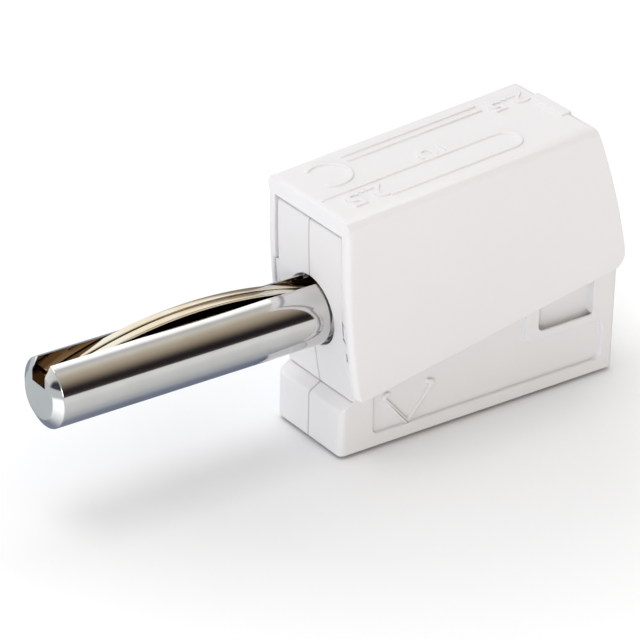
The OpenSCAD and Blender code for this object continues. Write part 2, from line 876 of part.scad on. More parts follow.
// Bent strip: tab riveted to the pin, bar under the clamp, narrow tongue through the cage
module busbar() {
  outer_r = bus_t;
  color(copper)
    difference() {
      along_y(bus_w)
        polygon(rounded(
          [
            [chamber_front_x, tab_top],
            [chamber_front_x, -bus_drop],
            [tongue_rear_x, -bus_drop],
            [tongue_rear_x, bus_top_z],
            [tab_rear_x, bus_top_z],
            [tab_rear_x, tab_top]
          ],
          [0, outer_r, 0, 0, 0, 0]
        ));
      rod_x(tab_rear_x - eps, chamber_front_x + eps, tail_d / 2 + peg_play / 2);
      both_sides()
        translate([tongue_rear_x - eps, tongue_w / 2, -past])
          cube([tongue_front_x - tongue_rear_x + eps, past, 2 * past]);
    }
}

// Cage clamp bent from one strip: bearing leg, loop, upper leg and cage
module clamp_spring() {
  bearing_rear = tongue_front_x + clamp_end_gap;
  path = concat(
    [[bearing_rear, clamp_low_z]],
    arc_points([-loop_back, loop_z], loop_r, -90, 90 - leg_slope, loop_steps),
    arc_points([bend_x, bend_z], bend_r, 90 - leg_slope, 180, bend_steps),
    [[-cage_back, cage_low_z]]
  );
  color(steel)
    difference() {
      along_y(clamp_w)
        polygon(strip_outline(path, clamp_t));
      translate([-cage_back - bend_r, -cage_window_w / 2, cage_bar_top])
        cube([2 * bend_r, cage_window_w, cage_window_top - cage_bar_top]);
    }
}

housing_left();
housing_right();
lever_cap();
plug_pin();
contact_spring();
busbar();
clamp_spring();
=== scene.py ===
import math

import bmesh
import bpy
from mathutils import Euler, Matrix, Vector


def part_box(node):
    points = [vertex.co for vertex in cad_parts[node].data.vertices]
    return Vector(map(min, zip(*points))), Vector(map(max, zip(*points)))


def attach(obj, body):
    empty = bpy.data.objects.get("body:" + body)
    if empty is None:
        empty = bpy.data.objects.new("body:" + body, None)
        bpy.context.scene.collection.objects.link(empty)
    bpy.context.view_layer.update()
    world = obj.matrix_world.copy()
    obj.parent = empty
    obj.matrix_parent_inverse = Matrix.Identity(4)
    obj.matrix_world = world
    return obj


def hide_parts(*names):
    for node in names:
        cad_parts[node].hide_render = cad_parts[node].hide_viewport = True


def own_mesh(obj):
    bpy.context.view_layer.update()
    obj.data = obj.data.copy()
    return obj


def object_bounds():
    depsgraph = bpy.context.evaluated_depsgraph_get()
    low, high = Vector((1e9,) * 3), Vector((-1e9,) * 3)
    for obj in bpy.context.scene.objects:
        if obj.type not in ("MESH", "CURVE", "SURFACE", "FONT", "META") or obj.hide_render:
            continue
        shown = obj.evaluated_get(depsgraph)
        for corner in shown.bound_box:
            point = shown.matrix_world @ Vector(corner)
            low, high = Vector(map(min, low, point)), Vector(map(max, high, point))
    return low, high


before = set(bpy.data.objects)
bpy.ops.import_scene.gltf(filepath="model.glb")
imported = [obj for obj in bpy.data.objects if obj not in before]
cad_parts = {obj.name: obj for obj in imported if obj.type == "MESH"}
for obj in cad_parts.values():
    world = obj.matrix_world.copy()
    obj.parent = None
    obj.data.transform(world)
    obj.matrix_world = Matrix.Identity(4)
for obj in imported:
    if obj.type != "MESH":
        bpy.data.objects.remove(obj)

# The view and its lamps: a long lens looks down on the plug's front and on the side with the arrow.
# One soft square lamp hangs overhead, and a brighter one stands ahead of the plug as a lit screen.
MM = 0.001
cad_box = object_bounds()
view_eye = Vector((0.107495, 0.148894, 0.097378))
view_azimuth = math.radians(144.02)
view_elevation = math.radians(28.1)
view_roll = math.radians(1.315)
view_lens = 212.7
view_sensor_w = 36.0
view_near = 0.01
view_far = 20.0
# Each lamp has its name, its place, its side in metres and its power in watts.
lamps = (
    ("overhead_lamp", Vector((0.13, -0.02, 0.48)), 0.2, 0.4),
    ("front_screen", Vector((0.38, 0.4, 0.11)), 0.2, 0.95),
)

scene = bpy.context.scene
scene.view_settings.view_transform = "Standard"
camera_data = bpy.data.cameras.new("studio_camera")
camera_data.lens = view_lens
camera_data.sensor_width = view_sensor_w
camera_data.clip_start = view_near
camera_data.clip_end = view_far
camera = bpy.data.objects.new("studio_camera", camera_data)
scene.collection.objects.link(camera)
aim = Euler((math.pi / 2 - view_elevation, 0.0, view_azimuth)).to_matrix().to_4x4()
camera.matrix_world = Matrix.Translation(view_eye) @ aim @ Matrix.Rotation(view_roll, 4, "Z")
scene.camera = camera

for name, place, size, power in lamps:
    lamp_data = bpy.data.lights.new(name, "AREA")
    lamp_data.shape = "SQUARE"
    lamp_data.size = size
    lamp_data.energy = power
    lamp = bpy.data.objects.new(name, lamp_data)
    scene.collection.objects.link(lamp)
    to_plug = (-place).to_track_quat("-Z", "Y").to_matrix().to_4x4()
    lamp.matrix_world = Matrix.Translation(place) @ to_plug

# The air of the studio: pale on the far side and greyer on the near one, with a bright patch high up.
# A dark stretch lies towards the near rear, a brown one towards the far rear and a small dark one
# straight ahead, and the polished pin and its strip show them all.
pale_way = Vector((0.0, -1.0, 0.0))
pale_fall = ((0.15, (0.42, 0.42, 0.42)), (0.5, (0.68, 0.68, 0.68)), (0.85, (1.22, 1.22, 1.22)))
dark_way = Vector((-0.52, 0.83, 0.2)).normalized()
dark_fall = (
    (0.45, (0.76, 0.76, 0.76)),
    (0.62, (0.80, 0.77, 0.68)),
    (0.69, (0.74, 0.67, 0.56)),
    (0.78, (0.59, 0.52, 0.41)),
    (0.86, (0.49, 0.41, 0.32)),
    (0.93, (0.32, 0.26, 0.19)),
    (0.97, (0.15, 0.122, 0.1)),
    (0.99, (0.05, 0.042, 0.04)),
    (1.0, (0.02, 0.015, 0.017)),
)
brown_way = Vector((-0.7, -0.7, 0.1)).normalized()
brown_fall = ((0.93, (0.52, 0.4, 0.26)), (0.99, (0.2, 0.21, 0.25)))
ahead_way = Vector((1.0, 0.0, 0.04)).normalized()
ahead_fall = ((0.0, (0.05, 0.05, 0.06)), (1.0, (0.05, 0.05, 0.06)))
bright_way = Vector((-0.518, -0.25, 0.82)).normalized()
bright_fall = ((0.955, (0.0, 0.0, 0.0)), (0.99, (0.9, 0.9, 0.9)))
# Each layer has its direction, its colours, how it is laid on, and the cosines
# at which it starts and is full.
air_layers = (
    (dark_way, dark_fall, "MIX", 0.42, 0.62),
    (brown_way, brown_fall, "MIX", 0.9, 0.95),
    (ahead_way, ahead_fall, "MIX", 0.975, 0.99),
    (bright_way, bright_fall, "ADD", -1.0, -0.9),
)
air_strength = 1.0


def add_ramp(nodes, links, value, stops):
    """A colour that follows a value through its stops."""
    ramp = nodes.new("ShaderNodeValToRGB")
    elements = ramp.color_ramp.elements
    while len(elements) < len(stops):
        elements.new(1.0)
    for element, (position, colour) in zip(elements, stops):
        element.position = position
        element.color = (*colour, 1.0)
    links.new(value, ramp.inputs["Fac"])
    return ramp.outputs["Color"]


def add_range(nodes, links, value, low, high, low_made=0.0, high_made=1.0):
    """A value between two limits, brought to between two others."""
    part = nodes.new("ShaderNodeMapRange")
    part.inputs["From Min"].default_value = low
    part.inputs["From Max"].default_value = high
    part.inputs["To Min"].default_value = low_made
    part.inputs["To Max"].default_value = high_made
    links.new(value, part.inputs["Value"])
    return part.outputs["Result"]


def add_measure(nodes, links, operation, place, other):
    """The distance or the dot product of a place and a plain vector."""
    measure = nodes.new("ShaderNodeVectorMath")
    measure.operation = operation
    links.new(place, measure.inputs[0])
    measure.inputs[1].default_value = other
    return measure.outputs["Value"]


def join(links, value, socket):
    """Brings a value to a socket: a link from another socket, or a plain number or colour."""
    if isinstance(value, bpy.types.NodeSocket):
        links.new(value, socket)
    else:
        socket.default_value = value


def add_mix(nodes, links, factor, under, over, kind="MIX"):
    """One colour laid over another by a factor."""
    mix = nodes.new("ShaderNodeMix")
    mix.data_type = "RGBA"
    mix.blend_type = kind
    links.new(factor, mix.inputs["Factor"])
    join(links, under, mix.inputs["A"])
    join(links, over, mix.inputs["B"])
    return mix.outputs["Result"]


air = bpy.data.worlds.new("studio_air")
air.use_nodes = True
scene.world = air
nodes, links = air.node_tree.nodes, air.node_tree.links
way = nodes.new("ShaderNodeTexCoord").outputs["Generated"]
pale_cosine = add_measure(nodes, links, "DOT_PRODUCT", way, pale_way)
air_colour = add_ramp(nodes, links, add_range(nodes, links, pale_cosine, -1.0, 1.0), pale_fall)
for direction, stops, kind, start, full in air_layers:
    cosine = add_measure(nodes, links, "DOT_PRODUCT", way, direction)
    layer_colour = add_ramp(nodes, links, add_range(nodes, links, cosine, 0.0, 1.0), stops)
    laid = add_range(nodes, links, cosine, start, full)
    air_colour = add_mix(nodes, links, laid, air_colour, layer_colour, kind)
links.new(air_colour, nodes["Background"].inputs["Color"])
nodes["Background"].inputs["Strength"].default_value = air_strength

# The table: a broad sheet of matt white board that the plug stands on. It glows a little, less near
# the plug, a painted shadow round it. In the polished metal it shows a painted reflection, greyer
# beside the plug as a painted shadow, with a painted glow ahead of the tip where nothing stands.
table_z = cad_box[0][2]
table_half = 1.5
table_white = (0.925, 0.937, 0.955, 1.0)
table_rough = 0.7
table_gloss = 0.1
# Painted reflection: only glossy rays see this tone, greyer beside the plug as a painted shadow.
mirrored_near_y = -4.0 * MM
mirrored_far_y = 12.0 * MM
painted_reflection_fall = (
    (0.0, (0.17, 0.2, 0.3)),
    (0.34, (0.32, 0.36, 0.46)),
    (0.5, (0.56, 0.61, 0.69)),
    (0.75, (0.77, 0.79, 0.81)),
    (1.0, (0.81, 0.83, 0.845)),
)
painted_reflection_ahead = (0.5, 0.56, 0.59, 1.0)
ahead_start_x = 19.0 * MM
ahead_full_x = 23.0 * MM
# Painted glow: a patch ahead of the tip glows in glossy rays only, with no lamp there.
painted_glow_place = (36.0 * MM, 6.0 * MM, table_z)
painted_glow_edge_r = 18.0 * MM
painted_glow_full_r = 9.0 * MM
painted_glow_strength = 0.9
# Painted shadow: the table glows a little, fading out towards a point beside the plug.
shade_place = (-3.0 * MM, 3.0 * MM, table_z)
clear_start_r = 12.0 * MM
clear_full_r = 30.0 * MM
clear_glow = 0.15
glow_white = (1.0, 1.0, 1.0, 1.0)


def new_material(name):
    """A material with its nodes, its links and its Principled shader at hand."""
    material = bpy.data.materials.new(name)
    material.use_nodes = True
    tree = material.node_tree
    return material, tree.nodes, tree.links, tree.nodes["Principled BSDF"]


def add_spot(nodes, links, place):
    """The x, y and z of a place."""
    spot = nodes.new("ShaderNodeSeparateXYZ")
    links.new(place, spot.inputs["Vector"])
    return spot.outputs


def add_math(nodes, links, operation, *values):
    """The result of one Math node."""
    step = nodes.new("ShaderNodeMath")
    step.operation = operation
    for value, socket in zip(values, step.inputs):
        join(links, value, socket)
    return step.outputs["Value"]


def add_piece(name, bm, material, smooth_angle=40.0):
    """Links a finished bmesh as a piece, smooth but for faces that meet at more than an angle."""
    mesh = bpy.data.meshes.new(name)
    bm.to_mesh(mesh)
    bm.free()
    mesh.materials.append(material)
    mesh.shade_smooth()
    mesh.set_sharp_from_angle(angle=math.radians(smooth_angle))
    piece = bpy.data.objects.new(name, mesh)
    scene.collection.objects.link(piece)
    return piece


table_paint, nodes, links, shader = new_material("table_paint")
shader.inputs["Roughness"].default_value = table_rough
shader.inputs["Specular IOR Level"].default_value = table_gloss
shader.inputs["Emission Color"].default_value = glow_white
# Glossy rays see the painted reflection tone in place of the table's white.
mirrored = nodes.new("ShaderNodeLightPath").outputs["Is Glossy Ray"]
place = nodes.new("ShaderNodeTexCoord").outputs["Object"]
spot = add_spot(nodes, links, place)
beside = add_range(nodes, links, spot["Y"], mirrored_near_y, mirrored_far_y)
painted_reflection_beside = add_ramp(nodes, links, beside, painted_reflection_fall)
ahead = add_range(nodes, links, spot["X"], ahead_start_x, ahead_full_x)
painted_reflection_tone = add_mix(nodes, links, ahead, painted_reflection_beside, painted_reflection_ahead)
table_tone = add_mix(nodes, links, mirrored, table_white, painted_reflection_tone)
links.new(table_tone, shader.inputs["Base Color"])
off_painted_glow = add_measure(nodes, links, "DISTANCE", place, painted_glow_place)
painted_glow = add_range(nodes, links, off_painted_glow, painted_glow_edge_r, painted_glow_full_r, 0.0, painted_glow_strength)
# Painted shadow: less glow near the plug darkens the table round it.
off_shade = add_measure(nodes, links, "DISTANCE", place, shade_place)
clear = add_range(nodes, links, off_shade, clear_start_r, clear_full_r, 0.0, clear_glow)
glow = add_math(nodes, links, "MULTIPLY_ADD", mirrored, painted_glow, clear)
links.new(glow, shader.inputs["Emission Strength"])
bm = bmesh.new()
bmesh.ops.create_grid(bm, x_segments=1, y_segments=1, size=table_half)
bmesh.ops.translate(bm, verts=bm.verts, vec=(0.0, 0.0, table_z))
add_piece("table", bm, table_paint)

# The plug pin: one turned brass rod, nickel plated and polished, with a slot milled along its top,
# whose faces are painted dark brown as painted shade and a painted reflection of the gold strip.
# It has a chamfered end, a fine neck at the front face, a collar that the housing traps and a thin
# tail riveted into the busbar.
pin_low, pin_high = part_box("plug_pin")
tip_x = pin_high[0]
tail_x = pin_low[0]
pin_r = 2.0 * MM
tip_chamfer = 0.35 * MM
tip_face_r = 1.4 * MM
collar_front_x = -1.6 * MM
collar_t = 1.0 * MM
collar_r = 2.4 * MM
tail_r = 1.1 * MM
peen_t = 0.4 * MM
peen_r = 1.5 * MM
neck_front_x = 0.14 * MM
neck_rear_x = -0.2 * MM
neck_r = 1.78 * MM
neck_clear_x = 2.0 * neck_front_x
slot_w = 1.25 * MM
slot_floor_z = 0.6 * MM
slot_rear_x = collar_front_x + 0.05 * MM
slot_rim_z = slot_floor_z + 0.8 * MM
turned_edge_r = 0.035 * MM
turned_angle = 20.0
slot_edge_r = 0.03 * MM
slot_angle = 35.0
pin_steps = 192
touch = 0.001 * MM
cut_over = 1.0 * MM
slot_paint_over = 0.003 * MM
# Painted shade and reflection: the dark brown laid on the slot's faces.
slot_painted_brown = (0.3, 0.22, 0.145, 1.0)


def sharp_edges(bm, angle):
    """Outward edges whose two faces meet at more than an angle in degrees."""
    return [e for e in bm.edges if e.is_convex and e.calc_face_angle() > math.radians(angle)]


def round_edges(bm, edges, radius, segments=3):
    """Rounds edges the way a tool or a mould leaves them."""
    bmesh.ops.bevel(
        bm,
        geom=edges,
        offset=radius,
        offset_type="OFFSET",
        segments=segments,
        profile=0.5,
        affect="EDGES",
        material=-1,
        clamp_overlap=False,
    )


pin_outline = (
    (tip_x, 0.0),
    (tip_x, tip_face_r),
    (tip_x - tip_chamfer, pin_r),
    (neck_front_x, pin_r),
    (neck_front_x, neck_r),
    (neck_rear_x, neck_r),
    (neck_rear_x, pin_r),
    (collar_front_x, pin_r),
    (collar_front_x, collar_r),
    (collar_front_x - collar_t, collar_r),
    (collar_front_x - collar_t, tail_r),
    (tail_x + peen_t, tail_r),
    (tail_x + peen_t, peen_r),
    (tail_x, peen_r),
    (tail_x, 0.0),
)
bm = bmesh.new()
corners = [bm.verts.new((x, r, 0.0)) for x, r in pin_outline]
outline = [bm.edges.new(pair) for pair in zip(corners, corners[1:])]
bmesh.ops.spin(
    bm,
    geom=corners + outline,
    cent=(0.0, 0.0, 0.0),
    axis=(1.0, 0.0, 0.0),
    angle=2.0 * math.pi,
    steps=pin_steps,
    use_merge=True,
)
bmesh.ops.remove_doubles(bm, verts=bm.verts, dist=touch)
bmesh.ops.recalc_face_normals(bm, faces=bm.faces)
turned = sharp_edges(bm, turned_angle)
off_neck = [e for e in turned if abs(e.verts[0].co.x) > neck_clear_x]
round_edges(bm, off_neck, turned_edge_r)


def milled(bm, name, low, high):
    """Cuts a box out of a solid, as an end mill would, and gives the cut solid back."""
    cutter_bm = bmesh.new()
    bmesh.ops.create_cube(cutter_bm, size=1.0)
    bmesh.ops.scale(cutter_bm, vec=Vector(high) - Vector(low), verts=cutter_bm.verts)
    bmesh.ops.translate(cutter_bm, vec=(Vector(high) + Vector(low)) / 2, verts=cutter_bm.verts)
    pair = []
    for part_name, part_bm in ((name + "_blank", bm), (name + "_cutter", cutter_bm)):
        mesh = bpy.data.meshes.new(part_name)
        part_bm.to_mesh(mesh)
        part_bm.free()
        pair.append(bpy.data.objects.new(part_name, mesh))
        scene.collection.objects.link(pair[-1])
    blank, cutter = pair
    cut = blank.modifiers.new("mill", "BOOLEAN")
    cut.operation = "DIFFERENCE"
    cut.solver = "EXACT"
    cut.object = cutter
    cut_bm = bmesh.new()
    cut_bm.from_object(blank, bpy.context.evaluated_depsgraph_get())
    for part in pair:
        mesh = part.data
        bpy.data.objects.remove(part)
        bpy.data.meshes.remove(mesh)
    return cut_bm


slot_low = (slot_rear_x, -slot_w / 2, slot_floor_z)
slot_high = (tip_x + cut_over, slot_w / 2, 2.0 * pin_r)
bm = milled(bm, "plug_pin", slot_low, slot_high)


def on_slot_rim(e):
    """True for an edge along the top or the ends of the slot's walls."""
    return all(abs(v.co.y) < slot_w / 2 + touch and v.co.z > slot_rim_z for v in e.verts)


slot_rims = [e for e in sharp_edges(bm, slot_angle) if on_slot_rim(e)]
round_edges(bm, slot_rims, slot_edge_r, segments=2)


def new_group(name, inputs, outputs):
    """A shader node group with its named sockets, its coordinates and its two ends at hand."""
    group = bpy.data.node_groups.new(name, "ShaderNodeTree")
    for socket_name, kind in inputs:
        group.interface.new_socket(name=socket_name, in_out="INPUT", socket_type=kind)
    for socket_name, kind in outputs:
        group.interface.new_socket(name=socket_name, in_out="OUTPUT", socket_type=kind)
    nodes = group.nodes
    place = nodes.new("ShaderNodeTexCoord").outputs["Object"]
    given = nodes.new("NodeGroupInput").outputs
    made = nodes.new("NodeGroupOutput").inputs
    return group, nodes, group.links, place, given, made


def add_noise(nodes, links, place, scale, detail):
    """A noise pattern over a place."""
    noise = nodes.new("ShaderNodeTexNoise")
    noise.inputs["Scale"].default_value = scale
    noise.inputs["Detail"].default_value = detail
    links.new(place, noise.inputs["Vector"])
    return noise.outputs["Fac"]


skin_outputs = (
    ("Base Color", "NodeSocketColor"),
    ("Roughness", "NodeSocketFloat"),
    ("Bump Height", "NodeSocketFloat"),
)
metal_inputs = (
    ("Colour", "NodeSocketColor"),
    ("Stain", "NodeSocketColor"),
    ("Grain", "NodeSocketVector"),
    ("Roughness", "NodeSocketFloat"),
)
streak_detail = 3.0
streak_matt = 0.05
cloud_scale = 420.0
cloud_detail = 2.0
stain_start = 0.4
stain_full = 0.75
metal_skin, nodes, links, place, given, made = new_group("metal_skin", metal_inputs, skin_outputs)
along_grain = nodes.new("ShaderNodeVectorMath")
along_grain.operation = "MULTIPLY"
links.new(place, along_grain.inputs[0])
links.new(given["Grain"], along_grain.inputs[1])
streaks = add_noise(nodes, links, along_grain.outputs["Vector"], 1.0, streak_detail)
clouds = add_noise(nodes, links, place, cloud_scale, cloud_detail)
stained = add_range(nodes, links, clouds, stain_start, stain_full)
tone = add_mix(nodes, links, stained, given["Colour"], given["Stain"])
matt = add_math(nodes, links, "MULTIPLY_ADD", streaks, streak_matt, given["Roughness"])
links.new(tone, made["Base Color"])
links.new(matt, made["Roughness"])
links.new(streaks, made["Bump Height"])


def skinned(name, group, settings, bump_depth, metallic=0.0):
    """A material whose colour, roughness and fine relief come from a skin group."""
    material, nodes, links, shader = new_material(name)
    shader.inputs["Metallic"].default_value = metallic
    skin = nodes.new("ShaderNodeGroup")
    skin.node_tree = group
    for socket_name, value in settings.items():
        skin.inputs[socket_name].default_value = value
    relief = nodes.new("ShaderNodeBump")
    relief.inputs["Strength"].default_value = 1.0
    relief.inputs["Distance"].default_value = bump_depth
    links.new(skin.outputs["Base Color"], shader.inputs["Base Color"])
    links.new(skin.outputs["Roughness"], shader.inputs["Roughness"])
    links.new(skin.outputs["Bump Height"], relief.inputs["Height"])
    links.new(relief.outputs["Normal"], shader.inputs["Normal"])
    return material, nodes, links, shader, skin


nickel, nodes, links, shader, skin = skinned(
    "polished_nickel",
    metal_skin,
    {
        "Colour": (0.66, 0.655, 0.65, 1.0),
        "Stain": (0.61, 0.6, 0.585, 1.0),
        "Grain": (9000.0, 260.0, 260.0),
        "Roughness": 0.06,
    },
    bump_depth=0.00012 * MM,
    metallic=1.0,
)
# The slot's faces take the dark brown: painted shade and a painted reflection of the gold strip.
spot = add_spot(nodes, links, nodes.new("ShaderNodeTexCoord").outputs["Object"])
beside = add_math(nodes, links, "ABSOLUTE", spot["Y"])
between = add_math(nodes, links, "LESS_THAN", beside, slot_w / 2 + slot_paint_over)
above = add_math(nodes, links, "GREATER_THAN", spot["Z"], slot_floor_z - slot_paint_over)
in_slot = add_math(nodes, links, "MULTIPLY", between, above)
slot_painted = add_mix(nodes, links, in_slot, skin.outputs["Base Color"], slot_painted_brown)
links.new(slot_painted, shader.inputs["Base Color"])
pin = add_piece("plug_pin_turned", bm, nickel)


def flat_kept(piece):
    """Keeps flat faces flat in the shading, next to rounded edges."""
    weighted = piece.modifiers.new("flat_faces", "WEIGHTED_NORMAL")
    weighted.keep_sharp = True
    weighted.weight = 50


flat_kept(pin)
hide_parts("plug_pin")
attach(pin, "housing")

# The contact spring: a thin strip of gold-coloured spring bronze, stamped with a slit and bowed.
# Its two ends lie on the slot's floor, and a socket presses its crest down.
bow_low, bow_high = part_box("contact_spring")
bow_t = 0.15 * MM
bow_w = bow_high[1] - bow_low[1]
bow_slit_w = 0.14 * MM
bow_end_l = 1.6 * MM
bow_edge_r = 0.05 * MM
bow_angle = 40.0
bow_steps = 96
bow_half = (bow_high[0] - bow_low[0]) / 2
bow_mid_x = (bow_high[0] + bow_low[0]) / 2
bow_sag = bow_high[2] - bow_t - bow_low[2]
bow_in_r = (bow_half**2 + bow_sag**2) / (2.0 * bow_sag)
bow_axis = Vector((bow_mid_x, 0.0, bow_high[2] - bow_t - bow_in_r))
bow_turn = math.asin(bow_half / (bow_in_r + bow_t))
slit_turn = math.asin((bow_half - bow_end_l) / bow_in_r)

bm = bmesh.new()
start = bow_axis + Matrix.Rotation(-bow_turn, 3, "Y") @ Vector((0.0, 0.0, bow_in_r))
finger_sides = (-bow_w / 2, -bow_slit_w / 2, bow_slit_w / 2, bow_w / 2)
across = [bm.verts.new((start.x, y, start.z)) for y in finger_sides]
strip = [bm.edges.new(pair) for pair in zip(across, across[1:])]
bmesh.ops.spin(
    bm,
    geom=across + strip,
    cent=bow_axis,
    axis=(0.0, 1.0, 0.0),
    angle=2.0 * bow_turn,
    steps=bow_steps,
)
bmesh.ops.recalc_face_normals(bm, faces=bm.faces)
slit = [
    f
    for f in bm.faces
    if abs(f.calc_center_median().y) < bow_slit_w / 4
    and abs(f.calc_center_median().x - bow_mid_x) < bow_in_r * math.sin(slit_turn)
]
bmesh.ops.delete(bm, geom=slit, context="FACES")
upward = sum(f.normal.z for f in bm.faces) > 0.0
bmesh.ops.solidify(bm, geom=bm.faces, thickness=-bow_t if upward else bow_t)
bmesh.ops.recalc_face_normals(bm, faces=bm.faces)
round_edges(bm, sharp_edges(bm, bow_angle), bow_edge_r)

gold, *_ = skinned(
    "gold_strip",
    metal_skin,
    {
        "Colour": (0.75, 0.7, 0.59, 1.0),
        "Stain": (0.7, 0.57, 0.36, 1.0),
        "Grain": (180.0, 14000.0, 500.0),
        "Roughness": 0.13,
    },
    bump_depth=0.0006 * MM,
    metallic=1.0,
)
bow = add_piece("contact_spring_bow", bm, gold)
flat_kept(bow)
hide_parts("contact_spring")
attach(bow, "housing")

# The busbar: a copper strip, stamped, tinned and bent into a step. It is riveted on the pin's tail,
# and its long leg is the bar that the conductor is pulled up against.
bus_edge_r = 0.06 * MM
stamped_angle = 30.0
flat_angle = 0.3


def joined_copy(node, merge_dist):
    """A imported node's solid with its triangles joined again into whole faces."""
    bm = bmesh.new()
    bm.from_mesh(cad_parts[node].data)
    bmesh.ops.remove_doubles(bm, verts=bm.verts, dist=merge_dist)
    bmesh.ops.dissolve_limit(
        bm,
        angle_limit=math.radians(flat_angle),
        use_dissolve_boundaries=False,
        verts=bm.verts,
        edges=bm.edges,
    )
    return bm


bm = joined_copy("busbar", touch)
round_edges(bm, sharp_edges(bm, stamped_angle), bus_edge_r)
tin, *_ = skinned(
    "tinned_copper",
    metal_skin,
    {
        "Colour": (0.74, 0.72, 0.68, 1.0),
        "Stain": (0.66, 0.6, 0.52, 1.0),
        "Grain": (200.0, 8000.0, 600.0),
        "Roughness": 0.26,
    },
    bump_depth=0.0015 * MM,
    metallic=1.0,
)
bus = add_piece("busbar_strip", bm, tin)
flat_kept(bus)
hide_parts("busbar")
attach(bus, "housing")

# The clamp spring: a strip of spring steel, bent into a loop with a cage at its end and hooked on
# the busbar. The lever's plunger presses the loop down and so opens the cage round the conductor.
clamp_edge_r = 0.04 * MM

bm = joined_copy("clamp_spring", touch)
round_edges(bm, sharp_edges(bm, stamped_angle), clamp_edge_r)
steel, *_ = skinned(
    "spring_steel",
    metal_skin,
    {
        "Colour": (0.6, 0.61, 0.63, 1.0),
        "Stain": (0.5, 0.5, 0.52, 1.0),
        "Grain": (600.0, 8000.0, 600.0),
        "Roughness": 0.24,
    },
    bump_depth=0.0012 * MM,
    metallic=1.0,
)
clamp = add_piece("clamp_spring_strip", bm, steel)
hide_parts("clamp_spring")
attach(clamp, "housing")
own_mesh(clamp)

# The housing: two half shells moulded in white plastic and pegged together round the pin's collar.
# They stand on a low plinth, set in a little all round, whose walls are painted dark as shade
# under the base's edge, and a fine dark joint runs between them.
shell_edge_r = 0.06 * MM
shell_out = 4.0 * MM
shell_front_x = 0.05 * MM
shell_rear_x = -19.45 * MM
shell_merge = 0.012 * MM
moulded_angle = 30.0
base_side_y = 3.05 * MM
plinth_top_z = table_z + 0.2 * MM
plinth_low_z = table_z - cut_over
plinth_in = 0.6 * MM
plinth_side_y = base_side_y - plinth_in
window_front_x = -13.6 * MM
window_rear_x = -17.9 * MM
window_low_z = -4.15 * MM
window_back_y = 2.45 * MM
window_lip_y = 2.88 * MM
window_sunk = 0.3 * MM
cut_lap = 0.1 * MM
rear_over_x = shell_rear_x - cut_over
shell_cuts = (
    ((rear_over_x, plinth_side_y, plinth_low_z), (cut_over, shell_out, plinth_top_z)),
    ((shell_front_x - plinth_in, -cut_lap, plinth_low_z), (cut_over, shell_out, plinth_top_z)),
    ((rear_over_x, -cut_lap, plinth_low_z), (shell_rear_x + plinth_in, shell_out, plinth_top_z)),
    (
        (window_rear_x, window_back_y, window_low_z - window_sunk),
        (window_front_x, window_lip_y, window_low_z + cut_lap),
    ),
)
joint_near = 0.02 * MM
joint_far = 0.1 * MM
joint_dark = 0.5
gap_over = joint_near / 4
# The dark joint's colour, also laid on the plinth's walls as painted shade.
joint_and_shade_colour = (0.3, 0.29, 0.28, 1.0)

moulded_inputs = (
    ("Colour", "NodeSocketColor"),
    ("Shade", "NodeSocketColor"),
    ("Roughness", "NodeSocketFloat"),
)
flow_scale = 170.0
flow_detail = 3.0
spark_scale = 9000.0
spark_detail = 2.0
spark_matt = 0.12
moulded_skin, nodes, links, place, given, made = new_group(
    "moulded_skin", moulded_inputs, skin_outputs
)
flow = add_noise(nodes, links, place, flow_scale, flow_detail)
spark = add_noise(nodes, links, place, spark_scale, spark_detail)
tone = add_mix(nodes, links, flow, given["Colour"], given["Shade"])
matt = add_math(nodes, links, "MULTIPLY_ADD", spark, spark_matt, given["Roughness"])
links.new(tone, made["Base Color"])
links.new(matt, made["Roughness"])
links.new(spark, made["Bump Height"])

shell_plastic, nodes, links, shader, skin = skinned(
    "shell_plastic",
    moulded_skin,
    {
        "Colour": (0.82, 0.81, 0.822, 1.0),
        "Shade": (0.79, 0.782, 0.795, 1.0),
        "Roughness": 0.4,
    },
    bump_depth=0.002 * MM,
)
spot = add_spot(nodes, links, nodes.new("ShaderNodeTexCoord").outputs["Object"])
off_joint = add_math(nodes, links, "ABSOLUTE", spot["Y"])
joint = add_range(nodes, links, off_joint, joint_near, joint_far, joint_dark, 0.0)
# Painted shade: the plinth's set-in walls and the underside above them are coloured dark.
over_foot = add_math(nodes, links, "GREATER_THAN", spot["Z"], table_z + gap_over)
under_edge = add_math(nodes, links, "LESS_THAN", spot["Z"], plinth_top_z + gap_over)
plinth_painted_shade = add_math(nodes, links, "MULTIPLY", over_foot, under_edge)
shaded = add_math(nodes, links, "MAXIMUM", joint, plinth_painted_shade)
darkened = add_mix(nodes, links, shaded, skin.outputs["Base Color"], joint_and_shade_colour)
links.new(darkened, shader.inputs["Base Color"])

for side, way_out in (("left", 1.0), ("right", -1.0)):
    bm = joined_copy("housing_" + side, shell_merge)
    for low, high in shell_cuts:
        near_y, far_y = sorted((way_out * low[1], way_out * high[1]))
        bm = milled(bm, "housing_" + side, (low[0], near_y, low[2]), (high[0], far_y, high[2]))
    moulded = [
        e
        for e in sharp_edges(bm, moulded_angle)
        if min(v.co.z for v in e.verts) > plinth_top_z - touch
    ]
    round_edges(bm, moulded, shell_edge_r)
    half = add_piece("housing_shell_" + side, bm, shell_plastic)
    flat_kept(half)
    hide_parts("housing_" + side)
    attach(half, "housing")

# The lever cap: one white moulding like an inverted U that snaps over the halves and turns on
# their bosses. Its upright front edges are softly rounded, and its other edges only as much
# as the mould leaves them.
cap_edge_r = 0.05 * MM
cap_merge = 0.004 * MM
cap_rim_r = 0.32 * MM
cap_rim_segments = 5
cap_rim_y = 3.3 * MM
cap_rim_z = 6.35 * MM
rim_ahead_least = 0.4
rim_aside_most = 0.3
top_round_least = 0.15
top_round_most = 0.995
top_round_aside = 0.01
top_round_up = 0.05

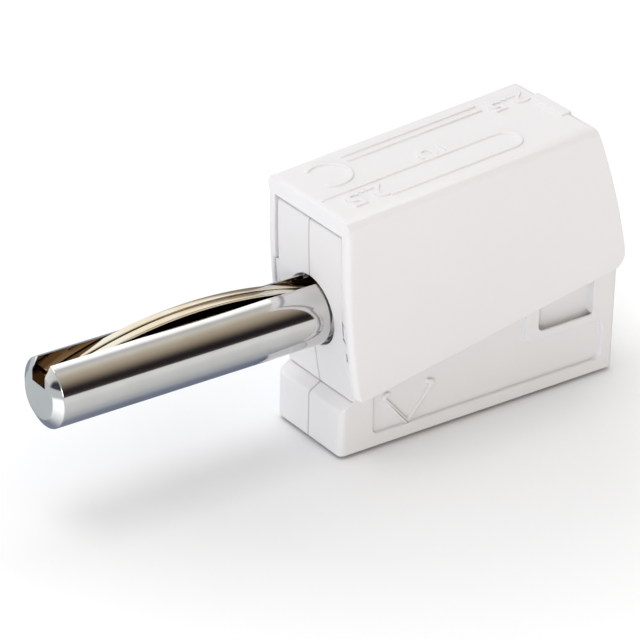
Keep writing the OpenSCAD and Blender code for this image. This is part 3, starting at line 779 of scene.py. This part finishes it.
cap_plastic, *_ = skinned(
    "cap_plastic",
    moulded_skin,
    {
        "Colour": (0.85, 0.84, 0.857, 1.0),
        "Shade": (0.825, 0.817, 0.832, 1.0),
        "Roughness": 0.4,
    },
    bump_depth=0.002 * MM,
)


def on_front_rim(e):
    """True for the cap's outer upright front edges."""
    ahead, aside = sorted((f.normal for f in e.link_faces), key=lambda n: -n.x)
    middle = (e.verts[0].co + e.verts[1].co) / 2
    upright = abs(middle.y) > cap_rim_y and max(v.co.z for v in e.verts) < cap_rim_z
    outward = abs(aside.x) < rim_aside_most and aside.y * middle.y > 0.0
    return upright and outward and ahead.x > rim_ahead_least


def on_top_round(e):
    """True for an edge of the narrow faces that round the top plate's front."""
    return any(
        top_round_least < f.normal.x < top_round_most
        and abs(f.normal.y) < top_round_aside
        and f.normal.z > top_round_up
        for f in e.link_faces
    )


bm = joined_copy("lever_cap", cap_merge)
front_rims = [e for e in sharp_edges(bm, moulded_angle) if on_front_rim(e)]
round_edges(bm, front_rims, cap_rim_r, segments=cap_rim_segments)
moulded = [e for e in sharp_edges(bm, moulded_angle) if not on_top_round(e)]
round_edges(bm, moulded, cap_edge_r)
cap = add_piece("lever_cap_moulding", bm, cap_plastic)
flat_kept(cap)
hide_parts("lever_cap")
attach(cap, "lever")

# The plain numbers on the top plate: a length and two conductor sizes, raised in the same moulding.
# They read from the rear and stand as high as the lines beside them.
plate_front = Vector((0.375 * MM, 0.0, 6.93 * MM))
plate_slope = math.radians(4.5)
number_h = 0.09 * MM
number_sunk = 0.03 * MM
figure_size = 1.4 * MM
figure_swell = 0.03 * MM
figure_steps = 6
figure_merge = 0.0005 * MM
# Each number has its name, its figures, and its two ends along x and along y in millimetres.
numbers = (
    ("number_length", "10", (-8.9, -6.9), (-0.35, 0.75)),
    ("number_size_front", "2.5", (-3.5, -0.95), (1.2, 2.6)),
    ("number_size_rear", "2.5", (-15.95, -13.4), (-2.3, -1.2)),
)
along_plate = Matrix.Translation(plate_front) @ Matrix.Rotation(plate_slope, 4, "Y")
for name, figures, (rear_x, front_x), (low_y, high_y) in numbers:
    figure_curve = bpy.data.curves.new(name, "FONT")
    figure_curve.body = figures
    figure_curve.size = figure_size
    figure_curve.offset = figure_swell
    figure_curve.extrude = (number_h + number_sunk) / 2
    figure_curve.resolution_u = figure_steps
    writing = bpy.data.objects.new(name + "_writing", figure_curve)
    scene.collection.objects.link(writing)
    bpy.context.view_layer.update()
    figure_mesh = bpy.data.meshes.new_from_object(writing)
    bm = bmesh.new()
    bm.from_mesh(figure_mesh)
    bpy.data.objects.remove(writing)
    bpy.data.meshes.remove(figure_mesh)
    bpy.data.curves.remove(figure_curve)
    bmesh.ops.remove_doubles(bm, verts=bm.verts, dist=figure_merge)
    low = Vector(min(v.co[i] for v in bm.verts) for i in range(3))
    high = Vector(max(v.co[i] for v in bm.verts) for i in range(3))
    stretch_x = (front_x - rear_x) * MM / (high.x - low.x)
    stretch_y = (high_y - low_y) * MM / (high.y - low.y)
    bmesh.ops.translate(bm, vec=-low, verts=bm.verts)
    bmesh.ops.scale(bm, vec=(stretch_x, stretch_y, 1.0), verts=bm.verts)
    to_place = Matrix.Translation((rear_x * MM - plate_front.x, low_y * MM, -number_sunk))
    bmesh.ops.transform(bm, matrix=along_plate @ to_place, verts=bm.verts)
    bmesh.ops.recalc_face_normals(bm, faces=bm.faces)
    number = add_piece(name, bm, cap_plastic)
    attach(number, "lever")
